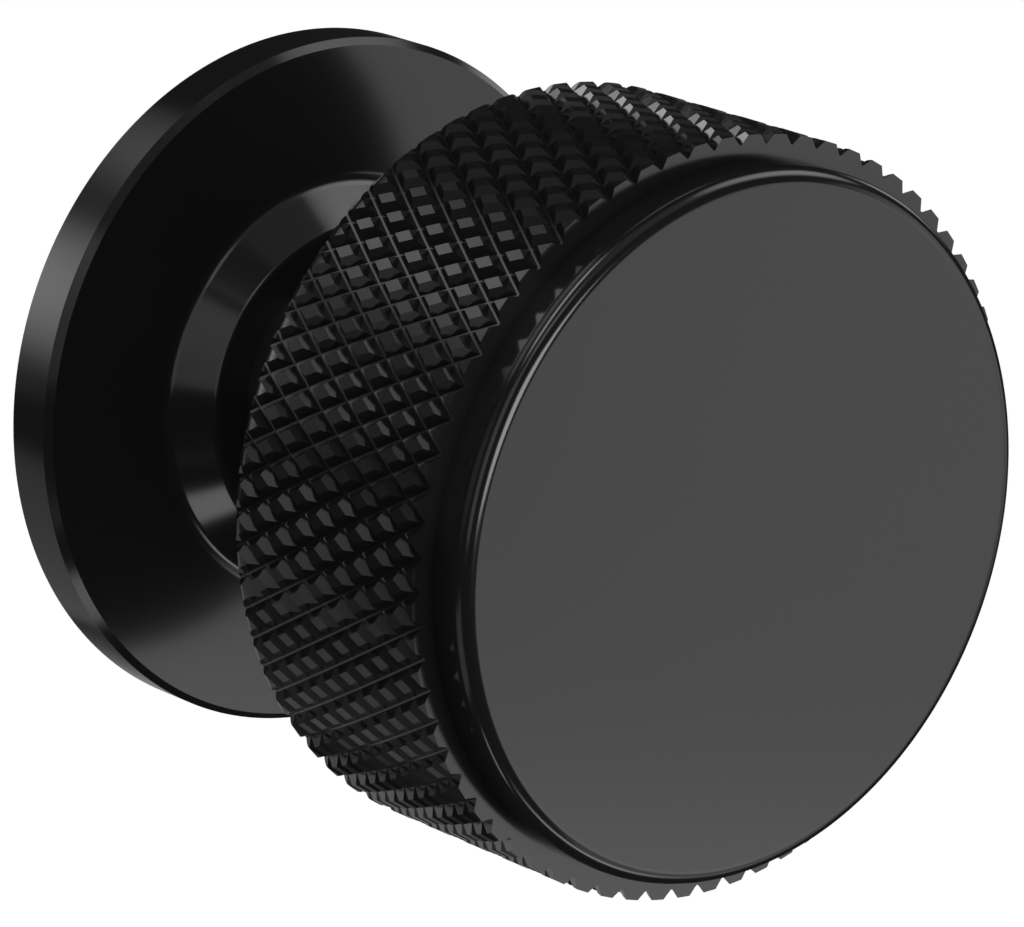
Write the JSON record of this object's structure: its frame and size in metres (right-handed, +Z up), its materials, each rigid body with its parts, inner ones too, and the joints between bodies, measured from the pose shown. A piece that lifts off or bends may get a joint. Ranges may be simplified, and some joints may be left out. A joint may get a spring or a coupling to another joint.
{
  "type": "cabinet knob",
  "caption": "Round cabinet knob with a diamond-knurled drum head and plain raised front, on a straight neck and a round backplate with a conical foot, in satin black metal.",
  "frame": {"origin": "centre of the rear face, where the fixing screw enters the knob from behind", "axes": "-Y points forward out of the furniture along the knob's axis, +Z is up"},
  "size_m": [0.038, 0.0351, 0.038],
  "materials": {
    "satin_black_metal": "satin black coat on turned metal"
  },
  "bodies": {
    "root": {"knob": "satin_black_metal", "backplate": "satin_black_metal"}
  },
  "joints": []
}
